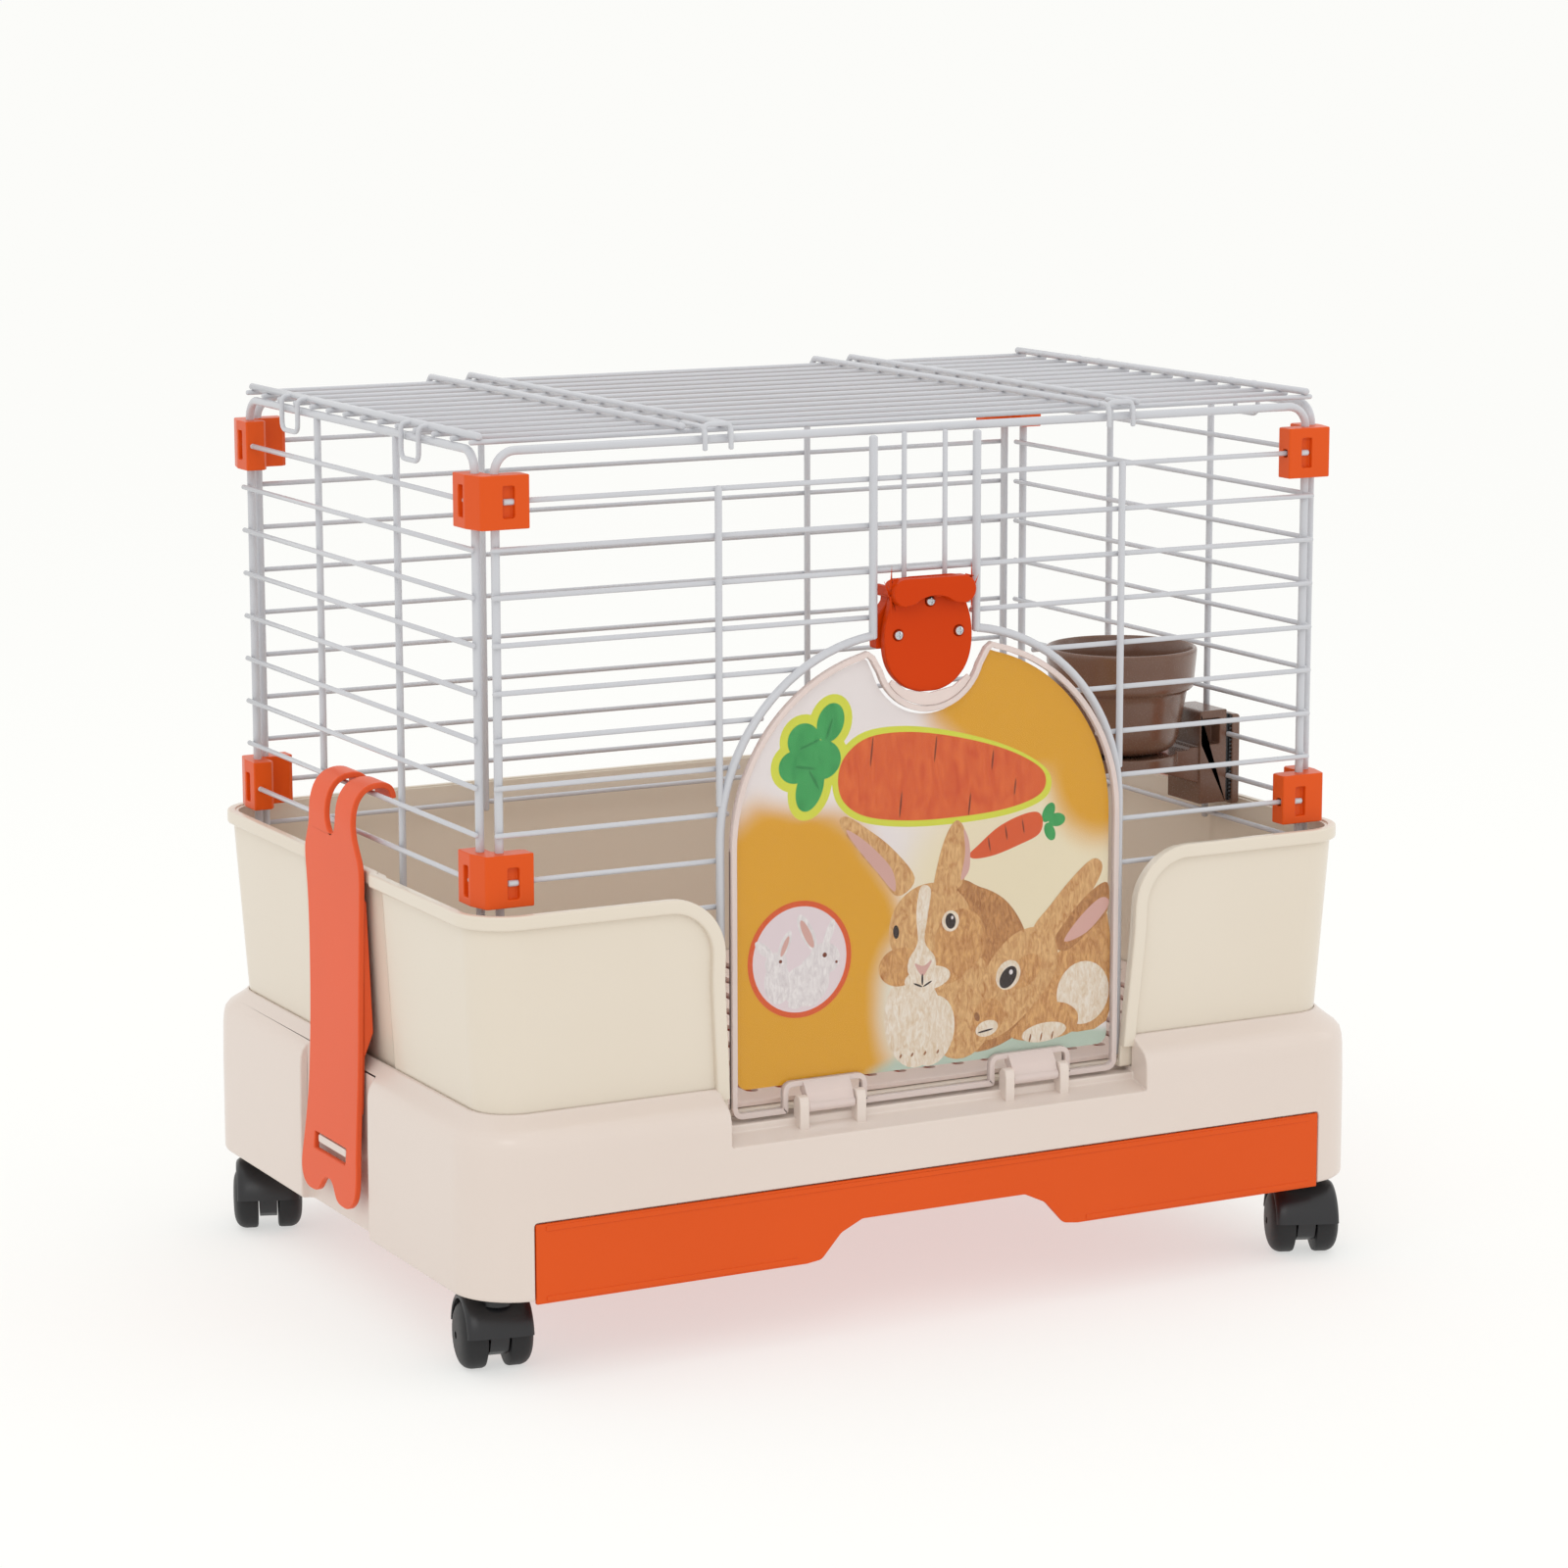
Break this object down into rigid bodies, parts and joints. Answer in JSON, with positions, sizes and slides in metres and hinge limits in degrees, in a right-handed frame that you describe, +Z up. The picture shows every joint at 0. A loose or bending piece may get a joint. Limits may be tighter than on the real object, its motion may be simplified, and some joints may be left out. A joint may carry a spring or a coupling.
{
  "type": "wire rabbit cage",
  "caption": "Small wire rabbit cage with arched clear door, hinged wire roof, splash tub, pull-out litter drawer, side straps, feeding bowl and swivel castors.",
  "frame": {"origin": "centre of the bounding box in X and Y, on the floor under the castor wheels", "axes": "+X to the right seen from the door, +Y to the back, +Z up"},
  "size_m": [0.6296, 0.453, 0.5531],
  "materials": {
    "shell_plastic": "satin moulded",
    "tub_plastic": "satin moulded",
    "orange_plastic": "satin moulded",
    "strap_plastic": "satin, slightly translucent",
    "grid_plastic": "matte moulded",
    "coated_wire": "glossy light grey coating",
    "clear_plastic": "clear, polished",
    "printed_film": null,
    "screw_steel": "plated",
    "brown_plastic": "satin moulded",
    "castor_plastic": "satin moulded"
  },
  "bodies": {
    "cage": {"base_frame": "shell_plastic", "splash_tub": "tub_plastic", "front_wire_panel": "coated_wire", "rear_wire_panel": "coated_wire", "left_wire_panel": "coated_wire", "right_wire_panel": "coated_wire", "corner_clip_upper_front_left": "orange_plastic", "corner_clip_lower_front_left": "orange_plastic", "corner_clip_upper_front_right": "orange_plastic", "corner_clip_lower_front_right": "orange_plastic", "corner_clip_upper_rear_left": "orange_plastic", "corner_clip_lower_rear_left": "orange_plastic", "corner_clip_upper_rear_right": "orange_plastic", "corner_clip_lower_rear_right": "orange_plastic", "latch_front_shell": "orange_plastic", "latch_back_shell": "orange_plastic", "latch_screw_1": "screw_steel", "latch_screw_2": "screw_steel", "latch_screw_3": "screw_steel", "bowl_bracket": "brown_plastic", "bowl_clamp_plate": "brown_plastic", "bowl_clamp_screw": "screw_steel"},
    "drawer": {"litter_drawer": "orange_plastic"},
    "floor": {"floor_grid": "grid_plastic"},
    "roof": {"roof_wire_panel": "coated_wire"},
    "door": {"front_door": "clear_plastic", "door_label": "printed_film"},
    "latch_cap": {"latch_press_cap": "orange_plastic"},
    "strap_left": {"side_strap_left": "strap_plastic"},
    "strap_right": {"side_strap_right": "strap_plastic"},
    "bowl": {"feeding_bowl": "brown_plastic"},
    "castor_front_left": {"castor_front_left_housing": "castor_plastic", "castor_front_left_axle": "screw_steel"},
    "castor_front_left_wheel_left": {"castor_front_left_wheel_left": "castor_plastic"},
    "castor_front_left_wheel_right": {"castor_front_left_wheel_right": "castor_plastic"},
    "castor_front_right": {"castor_front_right_housing": "castor_plastic", "castor_front_right_axle": "screw_steel"},
    "castor_front_right_wheel_left": {"castor_front_right_wheel_left": "castor_plastic"},
    "castor_front_right_wheel_right": {"castor_front_right_wheel_right": "castor_plastic"},
    "castor_rear_left": {"castor_rear_left_housing": "castor_plastic", "castor_rear_left_axle": "screw_steel"},
    "castor_rear_left_wheel_left": {"castor_rear_left_wheel_left": "castor_plastic"},
    "castor_rear_left_wheel_right": {"castor_rear_left_wheel_right": "castor_plastic"},
    "castor_rear_right": {"castor_rear_right_housing": "castor_plastic", "castor_rear_right_axle": "screw_steel"},
    "castor_rear_right_wheel_left": {"castor_rear_right_wheel_left": "castor_plastic"},
    "castor_rear_right_wheel_right": {"castor_rear_right_wheel_right": "castor_plastic"}
  },
  "joints": [
    {"name": "drawer_slide", "type": "slide", "parent": "cage", "child": "drawer", "axis": [0, -1, 0], "range_m": [0, 0.36]},
    {"name": "floor_lift", "type": "slide", "parent": "cage", "child": "floor", "axis": [0, 0, 1], "range_m": [0, 0.1]},
    {"name": "roof_hinge", "type": "hinge", "parent": "cage", "child": "roof", "pos_m": [0, 0.184, 0.5436], "axis": [-1, 0, 0], "range_deg": [0, 110]},
    {"name": "door_hinge", "type": "hinge", "parent": "cage", "child": "door", "pos_m": [0, -0.2045, 0.1415], "axis": [1, 0, 0], "range_deg": [0, 95]},
    {"name": "latch_slide", "type": "slide", "parent": "cage", "child": "latch_cap", "axis": [0, 0, 1], "range_m": [0, 0.006]},
    {"name": "strap_left_hinge", "type": "hinge", "parent": "cage", "child": "strap_left", "pos_m": [-0.2896, 0, 0.32155], "axis": [0, 1, 0], "range_deg": [0, 60]},
    {"name": "strap_right_hinge", "type": "hinge", "parent": "cage", "child": "strap_right", "pos_m": [0.2846, 0, 0.32155], "axis": [0, -1, 0], "range_deg": [0, 60]},
    {"name": "bowl_lift", "type": "slide", "parent": "cage", "child": "bowl", "axis": [0, 0, 1], "range_m": [0, 0.12]},
    {"name": "castor_front_left_swivel", "type": "hinge", "parent": "cage", "child": "castor_front_left", "pos_m": [-0.283, -0.184, 0.06], "axis": [0, 0, 1], "continuous": true},
    {"name": "castor_front_left_wheel_left_spin", "type": "hinge", "parent": "castor_front_left", "child": "castor_front_left_wheel_left", "pos_m": [-0.28052, -0.17124, 0.0205], "axis": [0.9816, -0.1908, 0], "continuous": true},
    {"name": "castor_front_left_wheel_right_spin", "type": "hinge", "parent": "castor_front_left", "child": "castor_front_left_wheel_right", "pos_m": [-0.28052, -0.17124, 0.0205], "axis": [0.9816, -0.1908, 0], "continuous": true},
    {"name": "castor_front_right_swivel", "type": "hinge", "parent": "cage", "child": "castor_front_right", "pos_m": [0.283, -0.184, 0.06], "axis": [0, 0, 1], "continuous": true},
    {"name": "castor_front_right_wheel_left_spin", "type": "hinge", "parent": "castor_front_right", "child": "castor_front_right_wheel_left", "pos_m": [0.27792, -0.19597, 0.0205], "axis": [0.9205, -0.3907, 0], "continuous": true},
    {"name": "castor_front_right_wheel_right_spin", "type": "hinge", "parent": "castor_front_right", "child": "castor_front_right_wheel_right", "pos_m": [0.27792, -0.19597, 0.0205], "axis": [0.9205, -0.3907, 0], "continuous": true},
    {"name": "castor_rear_left_swivel", "type": "hinge", "parent": "cage", "child": "castor_rear_left", "pos_m": [-0.283, 0.184, 0.06], "axis": [0, 0, 1], "continuous": true},
    {"name": "castor_rear_left_wheel_left_spin", "type": "hinge", "parent": "castor_rear_left", "child": "castor_rear_left_wheel_left", "pos_m": [-0.28745, 0.17178, 0.0205], "axis": [0.9397, -0.342, 0], "continuous": true},
    {"name": "castor_rear_left_wheel_right_spin", "type": "hinge", "parent": "castor_rear_left", "child": "castor_rear_left_wheel_right", "pos_m": [-0.28745, 0.17178, 0.0205], "axis": [0.9397, -0.342, 0], "continuous": true},
    {"name": "castor_rear_right_swivel", "type": "hinge", "parent": "cage", "child": "castor_rear_right", "pos_m": [0.283, 0.184, 0.06], "axis": [0, 0, 1], "continuous": true},
    {"name": "castor_rear_right_wheel_left_spin", "type": "hinge", "parent": "castor_rear_right", "child": "castor_rear_right_wheel_left", "pos_m": [0.27792, 0.19597, 0.0205], "axis": [0.9205, 0.3907, 0], "continuous": true},
    {"name": "castor_rear_right_wheel_right_spin", "type": "hinge", "parent": "castor_rear_right", "child": "castor_rear_right_wheel_right", "pos_m": [0.27792, 0.19597, 0.0205], "axis": [0.9205, 0.3907, 0], "continuous": true}
  ]
}
